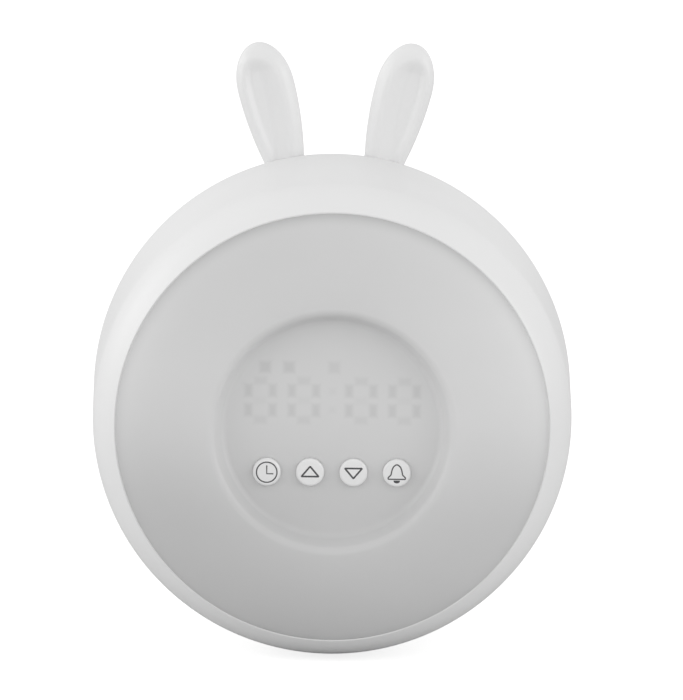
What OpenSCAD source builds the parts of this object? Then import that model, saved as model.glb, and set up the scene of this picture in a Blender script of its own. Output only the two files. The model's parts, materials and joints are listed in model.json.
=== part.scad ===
// Children's alarm clock with a night light: a round shell with two ears, a milky light ring with a
// recessed display, four front buttons, and a battery door, speaker, socket and switch at the back.
// Millimetres. Z is up, the face looks along -Y, and the origin is on the table under the middle.

/* [Body] */
// Diameter of the round body
body_d = 145; // [140:1:156]
// Wall of the shell
wall = 2.4; // [1.8:0.1:3]
// Depth from the seam with the light ring back to the full width
front_d = 15; // [12:1:20]
// Depth from that seam back to where the back starts to round off
belt_d = 60; // [56:1:66]
// Radius that rounds the body into its flat back
back_r = 28; // [24:1:32]
// Depth of the thick lip around the mouth of the shell
lip_d = 6; // [5:0.5:8]
// Height of the belly over the table
belly_gap = 1.2; // [0.8:0.1:2]

/* [Light ring] */
// How much smaller than the body the mouth for the light ring is, all round
mouth_in = 6.5; // [5:0.5:8]
// Height of the ring's crown in front of the seam
crown_h = 8.8; // [7:0.2:12]
// Radius where the crown is highest
crown_r = 38; // [36.5:0.5:42]
// Depth of the display recess behind the crown
recess_d = 6; // [5:0.2:7]
// Radius of the rounded lip of the recess
recess_round = 3; // [2:0.2:3.4]
// Slant of the recess wall in degrees
recess_draft = 25; // [15:1:30]
// Wall of the light ring
ring_wall = 2; // [1.6:0.1:2.4]
// Thickness of the display window
window_t = 1.6; // [1.2:0.1:2]
// Length of the skirt that plugs into the shell
skirt_l = 5; // [4:0.5:5.5]
// Thickness of the skirt
skirt_t = 2.1; // [1.6:0.1:2.4]

/* [Foot] */
// Diameter of the foot moulded under the belly
foot_d = 44; // [40:1:48]
// Distance of the foot's middle behind the seam
foot_back = 50; // [46:1:53]
// Diameter of the soft pad
pad_d = 38; // [32:1:38]
// Thickness of the soft pad
pad_t = 2; // [1.6:0.1:2.4]

/* [Ears] */
// Length of an ear above the shell
ear_l = 37; // [32:1:44]
// Greatest width of an ear
ear_w = 17.4; // [15:0.2:19]
// Width of an ear at the shell
ear_root_w = 13.2; // [12.8:0.2:15]
// How much longer an ear's tip is than a half circle
ear_tip = 1.6; // [1:0.1:1.8]
// Thickness of an ear
ear_t = 10.6; // [9.5:0.2:12]
// Lean of an ear away from the middle in degrees
ear_tilt = 14.5; // [10:0.5:18]
// Distance from the middle to the root of an ear
ear_x = 15.2; // [14:0.2:19]
// Distance of the ears behind the seam
ear_back = 67; // [63:1:70]
// Width of the rim around the hollow of an ear
ear_rim = 2.6; // [2:0.2:3.2]
// Depth of the hollow of an ear
ear_hollow = 3; // [2:0.2:3.4]
// Length of the tang that plugs into the shell
tang_l = 7; // [6:0.5:9]

/* [Buttons] */
// Diameter of a button
button_d = 8.4; // [7.6:0.2:9.4]
// Distance between neighbouring buttons
button_pitch = 13.1; // [12.4:0.1:14]
// Distance of the row of buttons below the middle
button_drop = 13.3; // [12:0.1:14]
// Height of a button in front of the window
button_h = 1.4; // [1:0.1:2]
// Travel of a button
button_travel = 0.6; // [0.4:0.1:0.8]
// Gap around a button
button_gap = 0.15; // [0.1:0.05:0.25]

/* [Display] */
// Height of a digit between its top and bottom segments
digit_h = 12; // [10:0.5:12.5]
// Width of a digit between its left and right segments
digit_w = 7.3; // [6:0.1:8]
// Distance of the middle of the digits above the middle of the body
digit_up = 8.6; // [8:0.1:9]
// Distance between the two digits of a pair
digit_pitch = 13.1; // [12:0.1:13.5]
// Distance between the inner digits across the colon
colon_gap = 17.3; // [16:0.1:18]
// Length of a segment window
segment_l = 4; // [3:0.1:4.2]
// Width of a segment window
segment_w = 1.9; // [1.4:0.1:2.2]
// Thickness of the light mask
mask_t = 6; // [5:0.1:6.5]

/* [Boards] */
// Thickness of a circuit board
board_t = 1.6; // [1:0.2:2]
// Radius of the main board
board_r = 36; // [35:0.5:37]
// Inner radius of the lamp board
lamp_in_r = 38.5; // [38:0.5:42]
// Gap around the lamp board
lamp_gap = 1.8; // [1:0.2:3]
// Number of lamps in the ring
lamps = 24; // [12:2:30]

/* [Back] */
// Length of a battery cell
cell_l = 44.5; // [43:0.5:45]
// Diameter of a battery cell
cell_d = 10.5; // [9.5:0.1:10.6]
// Distance of the battery box below the middle
box_drop = 14.5; // [14:0.1:15]
// Thickness of the battery door
door_t = 2; // [1.6:0.1:2.2]
// Radius of the speaker
speaker_r = 14; // [12:0.5:14.5]
// Distance of the speaker above the middle
speaker_up = 23; // [22:0.5:25]
// Radius of a grille hole
grille_r = 1.1; // [0.8:0.1:1.3]
// Travel of the switch knob
switch_travel = 2; // [1.5:0.1:2.4]

/* [Hidden] */
$fn = 96;
fit = 0.2;
slip = 0.05;

// Colours of the moulded and bought parts
white = [0.93, 0.93, 0.92];
milk = [0.86, 0.86, 0.86];
board_green = [0.1, 0.35, 0.2];
steel = [0.7, 0.7, 0.72];
dark = [0.12, 0.12, 0.13];

body_r = body_d / 2;
mouth_r = body_r - mouth_in;
axis_z = belly_gap + body_r;
back_d = belt_d + back_r;
knob_out = 1.2;
seam_y = (crown_h - back_d - knob_out) / 2;
foot_y = seam_y + foot_back;

// The front corner's arc runs from the mouth to the full width and is square to the belt.
front_rise = body_r - mouth_r;
front_r = (front_rise * front_rise + front_d * front_d) / (2 * front_rise);
front_cr = body_r - front_r;
back_cr = body_r - back_r;
lip_r = mouth_r - 2.5;
skirt_r = lip_r - fit;
frame_r = skirt_r - skirt_t - fit * 2;
frame_wall = 2;
lamp_out_r = frame_r - frame_wall - lamp_gap;
post_at = frame_r - 8.9;

// Stack of the display, measured in front of the seam
window_z = crown_h - recess_d;
window_back = window_z - window_t;
board_z = window_back - mask_t - 0.4;
board_back = board_z - board_t;
plate_z = board_back - 1.2;
plate_t = 2;
plate_back = plate_z - plate_t;

// Puts a shape drawn round Z onto the body's axis, with Z towards the viewer and Y up.
module on_axis() {
    translate([0, seam_y, axis_z]) rotate([90, 0, 0]) children();
}

// Half section of the body, drawn in from its skin by inset.
module body_section(inset) {
    intersection() {
        translate([front_cr, -front_d]) circle(r = front_r - inset);
        translate([front_cr, -front_d]) square([front_r, front_d]);
    }
    translate([0, -front_d]) square([front_cr, front_d]);
    translate([0, -belt_d]) square([body_r - inset, belt_d - front_d]);
    intersection() {
        translate([back_cr, -belt_d]) circle(r = back_r - inset);
        translate([back_cr, -belt_d - back_r]) square([back_r, back_r]);
    }
    translate([0, -belt_d - back_r + inset]) square([back_cr, back_r - inset]);
}

module body_form(inset) {
    on_axis() rotate_extrude() body_section(inset);
}

// The skin alone, with the thick lip that takes the light ring
module shell_skin() {
    on_axis() rotate_extrude() difference() {
        body_section(0);
        intersection() {
            body_section(wall);
            translate([0, -back_d]) square([body_d, back_d - lip_d]);
        }
        translate([0, -lip_d - 1]) square([lip_r, lip_d + 2]);
    }
}

/* ---- Battery box, speaker seat, shelf and posts inside the shell ---- */
cell_gap = 0.3;
cell_count = 3;
contact_t = 0.4;
box_w = cell_l + 6.5;
box_h = cell_count * (cell_d + cell_gap) + 0.6;
box_wall = 1.6;
box_floor = door_t + cell_d + 1.3;
door_w = box_w + 4;
door_h = box_h + 4;
door_ear_x = box_w / 2 + 3.8;
door_ear_r = 4.2;
inner_back = back_d - wall;

post_turn = 27.5;
post_x = post_at * cos(post_turn);
post_y = post_at * sin(post_turn);
post_r = 4.8;
post_front = -plate_back + 10.2;
screw_r = 1.45;
screw_hole_r = 1.5;
screw_way_r = 1.75;
screw_head_r = 3;
screw_head_t = 2;
screw_seat = post_front + 10;
screw_bury = 8;

shelf_y = -(box_drop + box_h / 2 + box_wall + 10.2);
shelf_t = 2;
power_t = 1.2;
power_w = 36;
power_l = 16.8;
shelf_w = power_w + 2;
shelf_in = inner_back - power_l - 1;
socket_x = -8;
socket_w = 8.94;
socket_h = 3.26;
socket_l = 7.3;
switch_x = 9.3;
switch_w = 8.6;
switch_h = 4.2;
knob_w = 3;
knob_h = 2.4;
slot_gap = 0.3;
power_screw_x = 13;
power_screw_z = shelf_in + 4.5;

speaker_post_x = speaker_r + 2.6;
speaker_post_r = 2.2;
speaker_head_r = 3.4;
speaker_flange = 1;

module at_posts() {
    for (sx = [-1, 1], sy = [-1, 1]) translate([sx * post_x, sy * post_y, 0]) children();
}

module at_speaker() {
    translate([0, speaker_up, -inner_back]) children();
}

module at_speaker_posts() {
    for (s = [-1, 1]) translate([s * speaker_post_x, speaker_up, 0]) children();
}

module at_door_screws() {
    for (s = [-1, 1]) translate([s * door_ear_x, -box_drop, 0]) children();
}

// Outline of the battery door, grown by extra
module door_outline(extra) {
    translate([-door_w / 2 - extra, -box_drop - door_h / 2 - extra])
        square([door_w + 2 * extra, door_h + 2 * extra]);
    at_door_screws() circle(r = door_ear_r + extra);
}

module stadium(w, h, l) {
    r = h / 2;
    translate([-w / 2 + r, -r, 0]) cube([w - h, h, l]);
    for (s = [-1, 1]) translate([s * (w / 2 - r), 0, 0]) cylinder(r = r, h = l);
}

// What stands on the inside of the back wall
module shell_inside() {
    tub_top = back_d - box_floor - box_wall;
    translate([-box_w / 2 - box_wall, -box_drop - box_h / 2 - box_wall, -back_d + 1])
        cube([box_w + 2 * box_wall, box_h + 2 * box_wall, back_d - 1 - tub_top]);
    translate([0, 0, -back_d + 1]) linear_extrude(wall + 1.4) door_outline(1.6);
    at_door_screws() translate([0, 0, -back_d + 1]) cylinder(r = 2.7, h = 9);
    at_posts() translate([0, 0, -back_d]) cylinder(r = post_r, h = back_d - post_front);
    translate([0, speaker_up, -back_d + 1]) cylinder(r = speaker_r + 1.6, h = wall - 1 + 2.6);
    at_speaker_posts() translate([0, 0, -back_d + 1])
        cylinder(r = speaker_post_r, h = wall - 1 + speaker_flange);
    translate([-shelf_w / 2, shelf_y - shelf_t, -back_d + 1])
        cube([shelf_w, shelf_t, back_d - 1 - shelf_in]);
    for (s = [-1, 1]) translate([s * power_screw_x, shelf_y - shelf_t / 2, -power_screw_z])
        rotate([90, 0, 0]) cylinder(r = 2.5, h = 7);
}

// What is cut out of the back wall and of what stands on it
module shell_cuts() {
    translate([-box_w / 2, -box_drop - box_h / 2, -back_d - 1]) cube([box_w, box_h, box_floor + 1]);
    translate([0, 0, -back_d - 1]) linear_extrude(1 + door_t) door_outline(fit);
    at_door_screws() translate([0, 0, -back_d]) cylinder(r = screw_hole_r - 0.3, h = 9);
    at_posts() {
        translate([0, 0, -back_d - 1]) cylinder(r = screw_head_r + 0.4, h = back_d + 1 - screw_seat);
        translate([0, 0, -back_d]) cylinder(r = screw_way_r, h = back_d);
    }
    at_speaker() cylinder(r = speaker_r + fit, h = 4);
    at_speaker_posts() {
        translate([0, 0, -inner_back - 0.8]) cylinder(r = 1, h = 6);
        translate([0, 0, -inner_back + speaker_flange]) cylinder(r = speaker_head_r + fit, h = 4);
    }
    translate([0, speaker_up, -back_d - 1]) {
        cylinder(r = grille_r, h = wall + 2);
        for (ring = [1, 2], i = [0 : 6 * ring - 1]) rotate(i * 60 / ring) translate([ring * 4.2, 0, 0])
            cylinder(r = grille_r, h = wall + 2);
    }
    translate([socket_x, shelf_y + power_t + socket_h / 2, -back_d - 1])
        stadium(socket_w + 0.5, socket_h + 0.5, wall + 2);
    slot_w = knob_w + switch_travel + 2 * slot_gap;
    slot_h = knob_h + 2 * slot_gap;
    translate([switch_x - slot_w / 2, shelf_y + power_t + (switch_h - slot_h) / 2, -back_d - 1])
        cube([slot_w, slot_h, wall + 2]);
    for (s = [-1, 1]) translate([s * power_screw_x, shelf_y + 1, -power_screw_z])
        rotate([90, 0, 0]) cylinder(r = 1.05, h = 7);
}

/* ---- Ears ---- */
ear_seat_r = back_cr + sqrt(back_r * back_r - pow(ear_back - belt_d, 2));
ear_base_z = axis_z + sqrt(ear_seat_r * ear_seat_r - ear_x * ear_x);
tang_w = 9;
tang_t = 5;
saddle_t = 2;
ear_screw_r = 1.05;
ear_screw_head_r = 2.4;
ear_screw_head_t = 1.6;

module at_ear(side) {
    translate([side * ear_x, seam_y + ear_back, ear_base_z]) rotate([0, side * ear_tilt, 0]) children();
}

// A flattened drop with an oval tip, from below its root up
module drop(root_w, top_w, squeeze, len, below) {
    hull() {
        translate([0, 0, len - top_w / 2 * ear_tip]) scale([1, squeeze, ear_tip])
            sphere(d = top_w, $fn = 28);
        translate([0, 0, -below]) scale([1, squeeze, 1]) cylinder(d = root_w, h = 1, $fn = 28);
    }
}

module ear(side) {
    hollow_w = ear_w - 2 * ear_rim;
    hollow_squeeze = 0.6;
    hollow_out = ear_t / 2 + hollow_w / 2 * hollow_squeeze - ear_hollow;
    difference() {
        union() {
            difference() {
                at_ear(side) drop(ear_root_w, ear_w, ear_t / ear_w, ear_l, 8);
                at_ear(side) translate([0, -hollow_out, 0])
                    drop(ear_root_w - 2 * ear_rim, hollow_w, hollow_squeeze, ear_l - ear_rim, 10);
                body_form(-slip);
            }
            at_ear(side) translate([-tang_w / 2, -tang_t / 2, -tang_l]) cube([tang_w, tang_t, tang_l + 4]);
        }
        at_ear(side) translate([0, 0, -tang_l - 1]) cylinder(r = ear_screw_r + slip, h = 9);
    }
}

// Blocks inside the shell that take the tangs
module ear_saddles() {
    for (s = [-1, 1]) at_ear(s) translate([-tang_w / 2 - 2.2, -tang_t / 2 - 2.2, -tang_l - saddle_t - fit])
        cube([tang_w + 4.4, tang_t + 4.4, tang_l + 4]);
}

module ear_pockets() {
    for (s = [-1, 1]) at_ear(s) {
        translate([-tang_w / 2 - fit / 2, -tang_t / 2 - fit / 2, -tang_l - fit])
            cube([tang_w + fit, tang_t + fit, tang_l + 12]);
        translate([0, 0, -tang_l - saddle_t - 2]) cylinder(r = ear_screw_r + 0.25, h = 6);
    }
}

module foot_block() {
    difference() {
        translate([0, foot_y, belly_gap - 0.3]) cylinder(d = foot_d, h = 16);
        body_form(wall / 2);
    }
}

module rear_shell() {
    color(white) difference() {
        union() {
            shell_skin();
            intersection() {
                union() {
                    on_axis() shell_inside();
                    ear_saddles();
                }
                body_form(wall / 2);
            }
            foot_block();
        }
        on_axis() shell_cuts();
        ear_pockets();
        translate([0, foot_y, -1]) cylinder(d = pad_d + 2 * fit, h = 1 + pad_t);
    }
}

module foot_pad() {
    color(dark) translate([0, foot_y, 0]) cylinder(d = pad_d, h = pad_t);
}

module left_ear() {
    color(white) ear(-1);
}

module right_ear() {
    color(white) ear(1);
}

module ear_screws() {
    color(steel) for (s = [-1, 1]) at_ear(s) translate([0, 0, -tang_l - saddle_t - fit]) {
        translate([0, 0, -ear_screw_head_t]) cylinder(r = ear_screw_head_r, h = ear_screw_head_t);
        cylinder(r = ear_screw_r, h = saddle_t + 6);
    }
}

/* ---- Light ring with the display window ---- */
rim_r = mouth_r - 0.3;
rim_z = 0.15;
crown_rise = rim_r - crown_r;
crown_cz = (crown_h * crown_h - crown_rise * crown_rise) / (2 * crown_h);
crown_arc = crown_h - crown_cz;
lip_turn = 90 - recess_draft;
lip_end_r = crown_r - recess_round * sin(lip_turn);
lip_end_z = crown_h - recess_round + recess_round * cos(lip_turn);
recess_r = lip_end_r - (lip_end_z - window_z) * tan(recess_draft);

module diffuser_section() {
    difference() {
        union() {
            intersection() {
                translate([crown_r, crown_cz]) circle(r = crown_arc);
                translate([crown_r, rim_z]) square([rim_r - crown_r + 1, crown_h]);
            }
            intersection() {
                translate([crown_r, crown_h - recess_round]) circle(r = recess_round);
                translate([crown_r - recess_round, lip_end_z]) square([recess_round, recess_round]);
            }
            polygon([[0, window_back], [crown_r, window_back], [crown_r, lip_end_z],
                     [lip_end_r, lip_end_z], [recess_r, window_z], [0, window_z]]);
        }
        intersection() {
            translate([crown_r, crown_cz]) circle(r = crown_arc - ring_wall);
            polygon([[recess_r + 2.2, -1], [recess_r + 2.2, window_back + 0.4], [crown_r, lip_end_z - 0.8],
                     [crown_r, crown_h], [mouth_r, crown_h], [mouth_r, -1]]);
        }
    }
    translate([skirt_r - skirt_t, -skirt_l]) square([skirt_t, skirt_l + 1.2]);
}

module at_button(i) {
    translate([(i - 1.5) * button_pitch, -button_drop, 0]) children();
}

module front_diffuser() {
    color(milk) on_axis() difference() {
        rotate_extrude() diffuser_section();
        for (i = [0 : 3]) at_button(i) translate([0, 0, window_back - 1])
            cylinder(d = button_d + 2 * button_gap, h = window_t + 2);
    }
}

/* ---- Frame that carries the boards ---- */
frame_hole_r = 30;
stand_r = 2.8;
board_screw_r = 1;
main_screw_at = 33;
lamp_screw_at = (lamp_in_r + lamp_out_r) / 2;

module at_main_screws() {
    for (a = [90, 210, 330]) rotate(a) translate([main_screw_at, 0, 0]) children();
}

module at_lamp_screws() {
    for (a = [82.5, 187.5, 352.5]) rotate(a) translate([lamp_screw_at, 0, 0]) children();
}

module inner_frame() {
    color(white) on_axis() difference() {
        union() {
            rotate_extrude() {
                translate([frame_hole_r, plate_back]) square([frame_r - frame_hole_r, plate_t]);
                translate([frame_r - frame_wall, plate_back]) square([frame_wall, -0.5 - plate_back]);
            }
            translate([0, 0, plate_back + 1]) {
                at_main_screws() cylinder(r = stand_r, h = board_back - plate_back - 1);
                at_lamp_screws() cylinder(r = stand_r, h = board_back - plate_back - 1);
            }
            at_posts() translate([0, 0, -post_front + 0.2])
                cylinder(r = 4, h = post_front + plate_back + 0.8);
        }
        at_posts() translate([0, 0, -post_front]) cylinder(r = screw_hole_r, h = screw_bury + 1);
        at_main_screws() translate([0, 0, plate_back + 0.6]) cylinder(r = board_screw_r + slip, h = 5);
        at_lamp_screws() translate([0, 0, plate_back + 0.6]) cylinder(r = board_screw_r + slip, h = 5);
    }
}

module case_screws() {
    color(steel) on_axis() at_posts() {
        translate([0, 0, -screw_seat - screw_head_t]) cylinder(r = screw_head_r, h = screw_head_t);
        translate([0, 0, -screw_seat]) cylinder(r = screw_r, h = screw_seat - post_front + screw_bury);
    }
}

module board_screw() {
    translate([0, 0, board_z]) cylinder(r = 1.9, h = 1.1);
    translate([0, 0, plate_back + 0.8]) cylinder(r = board_screw_r, h = board_z - plate_back - 0.8);
}

module board_screws() {
    color(steel) on_axis() {
        at_main_screws() board_screw();
        at_lamp_screws() board_screw();
    }
}

/* ---- Boards, lamps, mask and keys ---- */
led = [1.6, 1.2, 0.7];
lamp_led = [3.5, 2.8, 1.4];

module lamp_board() {
    color(white) on_axis() translate([0, 0, board_back]) difference() {
        cylinder(r = lamp_out_r, h = board_t);
        translate([0, 0, -1]) cylinder(r = lamp_in_r, h = board_t + 2);
        at_lamp_screws() translate([0, 0, -1]) cylinder(r = board_screw_r + 0.2, h = board_t + 2);
    }
}

module lamp_leds() {
    color("lightyellow") on_axis() for (i = [0 : lamps - 1])
        rotate(i * 360 / lamps) translate([lamp_screw_at + 4.5, 0, board_z + lamp_led[2] / 2])
            cube(lamp_led, center = true);
}

module main_board() {
    color(board_green) on_axis() translate([0, 0, board_back]) difference() {
        cylinder(r = board_r, h = board_t);
        at_main_screws() translate([0, 0, -1]) cylinder(r = board_screw_r + 0.2, h = board_t + 2);
    }
}

// Middles of the four digits, the two dots of the colon and the three small signs
digit_x = [-colon_gap / 2 - digit_pitch, -colon_gap / 2, colon_gap / 2, colon_gap / 2 + digit_pitch];
sign_x = [-20.4, -13.2, 0.4];
sign_up = digit_h / 2 + 4.2;
sign_w = 3.2;
dot_w = 2;
dot_rise = 2.8;

// Calls its child at every light well: [x, y, width, height] is in $well.
module at_wells() {
    for (x = digit_x) {
        for (sx = [-1, 1], sy = [-1, 1]) {
            $well = [segment_w, segment_l];
            translate([x + sx * digit_w / 2, digit_up + sy * digit_h / 4, 0]) children();
        }
        for (sy = [-1, 0, 1]) {
            $well = [segment_l, segment_w];
            translate([x, digit_up + sy * digit_h / 2, 0]) children();
        }
    }
    for (sy = [-1, 1]) {
        $well = [dot_w, dot_w];
        translate([0, digit_up + sy * dot_rise, 0]) children();
    }
    for (x = sign_x) {
        $well = [sign_w, sign_w];
        translate([x, digit_up + sign_up, 0]) children();
    }
}

module display_mask() {
    mask_r = recess_r - 1;
    foot_y = digit_up - digit_h / 2 - 3;
    color(white) on_axis() translate([0, 0, window_back - 0.1 - mask_t]) difference() {
        intersection() {
            cylinder(r = mask_r, h = mask_t);
            translate([-mask_r, foot_y, -1]) cube([2 * mask_r, digit_h + 12, mask_t + 2]);
        }
        at_wells() translate([-$well[0] / 2, -$well[1] / 2, -1]) cube([$well[0], $well[1], mask_t + 2]);
        at_main_screws() translate([0, 0, -1]) cylinder(r = 2.4, h = 3);
    }
}

module digit_leds() {
    color("lightyellow") on_axis() translate([0, 0, board_z]) at_wells()
        translate([-0.8, -0.6, 0]) cube(led);
}

key_h = window_back - board_z - 2.9;
flange_r = button_d / 2 + 0.9;
flange_z = window_back - 0.1;
flange_t = 1;
plunger_r = 1.7;
plunger_top = board_z + key_h + 1;

module key_switches() {
    color(dark) on_axis() for (i = [0 : 3]) at_button(i) translate([0, 0, board_z]) difference() {
        translate([-3, -3, 0]) cube([6, 6, key_h]);
        translate([0, 0, key_h - 1.4]) cylinder(r = plunger_r + 0.1, h = 2);
    }
}

module plunger(i) {
    color("gainsboro") on_axis() at_button(i) translate([0, 0, plunger_top - 1.6])
        cylinder(r = plunger_r, h = 1.6);
}

module button(i) {
    top = window_z + button_h;
    edge = 0.5;
    color(white) on_axis() at_button(i) {
        rotate_extrude() polygon([[0, flange_z - flange_t], [flange_r, flange_z - flange_t],
            [flange_r, flange_z], [button_d / 2, flange_z], [button_d / 2, top - edge],
            [button_d / 2 - edge, top], [0, top]]);
        translate([0, 0, plunger_top]) cylinder(r = 1.5, h = flange_z - flange_t - plunger_top + 0.2);
    }
}

module control_chip() {
    color(dark) on_axis() translate([4, 2, board_back - 1.4]) cube([10, 10, 1.4]);
}

// Sockets on the back of the main board, for the speaker and power leads
lead_socket = [6, 4, 4.5];
lead_socket_at = [[-10, -16], [8, -16]];

module lead_sockets() {
    color("ivory") on_axis() for (p = lead_socket_at)
        translate([p[0] - lead_socket[0] / 2, p[1] - lead_socket[1] / 2, board_back - lead_socket[2]])
            cube(lead_socket);
}

/* ---- Speaker ---- */
basket_d = 4.4;
magnet_r = 7.5;
magnet_t = 3.6;

module speaker_frame() {
    color(steel) on_axis() at_speaker() rotate_extrude()
        polygon([[speaker_r - 1.6, 0.1], [speaker_r, 0.1], [speaker_r, speaker_flange],
                 [speaker_r - 1, speaker_flange], [magnet_r + 0.6, basket_d], [0, basket_d],
                 [0, basket_d - 0.6], [magnet_r, basket_d - 0.6], [speaker_r - 1.6, speaker_flange - 0.4]]);
}

module speaker_cone() {
    color(dark) on_axis() at_speaker() rotate_extrude()
        polygon([[speaker_r - 1.75, 0.1], [speaker_r - 1.75, 0.5], [3.6, 2.6], [0, 1.8], [0, 1.4],
                 [3.6, 2.2], [speaker_r - 2.6, 0.1]]);
}

module speaker_magnet() {
    color(steel) on_axis() at_speaker() translate([0, 0, basket_d]) cylinder(r = magnet_r, h = magnet_t);
}

module speaker_screws() {
    color(steel) on_axis() at_speaker_posts() translate([0, 0, -inner_back + speaker_flange]) {
        cylinder(r = speaker_head_r, h = 1.2);
        translate([0, 0, -1.6]) cylinder(r = 0.95, h = 1.8);
    }
}

/* ---- Batteries and their door ---- */
nub_l = 0.8;
cell_z = -back_d + door_t + cell_d / 2 + 0.5;

// One cell with its nub towards +X, and the gap for its spring behind it
module at_cells() {
    for (i = [0 : cell_count - 1]) translate([0, -box_drop + (i - 1) * (cell_d + cell_gap), cell_z])
        rotate([0, 0, i % 2 * 180]) children();
}

cell_end = box_w / 2 - contact_t - nub_l;

module battery_cells() {
    color("darkseagreen") on_axis() at_cells() translate([cell_end - cell_l, 0, 0]) rotate([0, 90, 0]) {
        cylinder(d = cell_d, h = cell_l);
        cylinder(r = 1.9, h = cell_l + nub_l);
    }
}

module battery_contacts() {
    spring_l = box_w / 2 - contact_t + cell_end - cell_l;
    color(steel) on_axis() at_cells() {
        for (s = [-1, 1]) translate([s * (box_w - contact_t) / 2, 0, 0])
            cube([contact_t, 8.6, 8.6], center = true);
        translate([-box_w / 2 + contact_t, 0, 0]) rotate([0, 90, 0])
            cylinder(r1 = 3.6, r2 = 2, h = spring_l);
    }
}

module battery_door() {
    color(white) on_axis() difference() {
        translate([0, 0, -back_d]) linear_extrude(door_t - 0.05) door_outline(0);
        at_door_screws() {
            translate([0, 0, -back_d - 1]) cylinder(r = screw_hole_r, h = door_t + 2);
            translate([0, 0, -back_d - 1]) cylinder(r = 2.4, h = 2);
        }
    }
}

module door_screws() {
    color(steel) on_axis() at_door_screws() {
        translate([0, 0, -back_d]) cylinder(r = 2.2, h = 1);
        translate([0, 0, -back_d + 1]) cylinder(r = 1.1, h = 6);
    }
}

/* ---- Power board with its socket and switch ---- */
module at_power() {
    translate([0, shelf_y, -inner_back + 0.3]) children();
}

module power_board() {
    color(board_green) on_axis() difference() {
        at_power() translate([-power_w / 2, 0, 0]) cube([power_w, power_t, power_l]);
        for (s = [-1, 1]) translate([s * power_screw_x, shelf_y - 1, -power_screw_z])
            rotate([-90, 0, 0]) cylinder(r = 1.2, h = power_t + 2);
    }
}

module power_socket() {
    color(steel) on_axis() translate([socket_x, shelf_y + power_t + socket_h / 2, -back_d + 0.6]) {
        difference() {
            stadium(socket_w, socket_h, socket_l);
            translate([0, 0, -1]) stadium(socket_w - 0.6, socket_h - 0.7, socket_l);
        }
        translate([-3.35, -0.35, 0.6]) cube([6.7, 0.7, socket_l - 1]);
    }
}

knob_in = 0.8;

module power_switch() {
    slot = knob_w + switch_travel + 0.4;
    color(dark) on_axis() translate([switch_x, shelf_y + power_t, -inner_back + 0.3]) difference() {
        translate([-switch_w / 2, 0, 0]) cube([switch_w, switch_h, 4.3]);
        translate([-slot / 2, (switch_h - knob_h) / 2 - 0.1, -1]) cube([slot, knob_h + 0.2, 2]);
    }
}

module switch_knob() {
    knob_x = switch_x - (switch_travel + knob_w) / 2;
    knob_y = shelf_y + power_t + (switch_h - knob_h) / 2;
    color(dark) on_axis() translate([knob_x, knob_y, -back_d - knob_out])
        cube([knob_w, knob_h, knob_out + wall + 0.3 + knob_in]);
}

module power_screws() {
    color(steel) on_axis() for (s = [-1, 1])
        translate([s * power_screw_x, shelf_y + power_t, -power_screw_z]) {
            rotate([-90, 0, 0]) cylinder(r = 1.9, h = 1.1);
            rotate([90, 0, 0]) cylinder(r = 1, h = 6);
        }
}

/* ---- Leads inside the shell: each point is [x, up, in front of the seam] ---- */
lead_r = 1;
lead_sides = 8;
lead_steps = 5;

function unit(v) = v / norm(v);
function clip(p, i) = p[max(0, min(len(p) - 1, i))];
function curve_at(p, i, t) = let (a = clip(p, i - 1), b = p[i], c = clip(p, i + 1), d = clip(p, i + 2))
    0.5 * (2 * b + (c - a) * t + (2 * a - 5 * b + 4 * c - d) * t * t + (3 * b - a - 3 * c + d) * t * t * t);
function curve(p) = concat(
    [for (i = [0 : len(p) - 2], s = [0 : lead_steps - 1]) curve_at(p, i, s / lead_steps)],
    [p[len(p) - 1]]);

module lead(route, r) {
    line = curve(route);
    n = len(line);
    points = [for (i = [0 : n - 1]) let (
        along = unit(clip(line, i + 1) - clip(line, i - 1)),
        side = unit(cross(along, [0.31, 0.92, 0.24])),
        over = cross(side, along))
        for (k = [0 : lead_sides - 1]) let (a = 360 * k / lead_sides)
            line[i] + r * (cos(a) * side + sin(a) * over)];
    walls = [for (i = [0 : n - 2], k = [0 : lead_sides - 1]) let (k2 = (k + 1) % lead_sides)
        each [[i * lead_sides + k, i * lead_sides + k2, (i + 1) * lead_sides + k2],
              [i * lead_sides + k, (i + 1) * lead_sides + k2, (i + 1) * lead_sides + k]]];
    ends = [[for (k = [lead_sides - 1 : -1 : 0]) k],
            [for (k = [0 : lead_sides - 1]) (n - 1) * lead_sides + k]];
    color(dark) on_axis() polyhedron(points = points, faces = concat(walls, ends));
}

socket_back = board_back - lead_socket[2] - fit;
power_top = shelf_y + power_t + 0.1;
lead_drop = 6;

function between(a, b, t) = a + (b - a) * t;

module speaker_lead() {
    start = lead_socket_at[0];
    bend = socket_back - lead_drop;
    side = start[0] - 4;
    magnet_back = -inner_back + basket_d + magnet_t;
    lead([[start[0], start[1], socket_back], [start[0], start[1], bend],
          [side, between(start[1], speaker_up, 0.3), between(bend, magnet_back, 0.23)],
          [side, between(start[1], speaker_up, 0.75), between(bend, magnet_back, 0.55)],
          [side + 6, speaker_up - 1, between(bend, magnet_back, 0.8)],
          [-3, speaker_up, magnet_back + 4], [-3, speaker_up, magnet_back + fit]], lead_r);
}

module power_lead() {
    start = lead_socket_at[1];
    bend = socket_back - lead_drop;
    land = -inner_back + 11;
    lead([[start[0], start[1], socket_back], [start[0], start[1], bend],
          [start[0] + 2, between(start[1], shelf_y, 0.3), between(bend, land, 0.2)],
          [start[0], between(start[1], shelf_y, 0.7), between(bend, land, 0.5)],
          [4, shelf_y + 7, between(bend, land, 0.72)], [2, shelf_y + 6, land + 1],
          [2, power_top, land]], lead_r);
}

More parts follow.
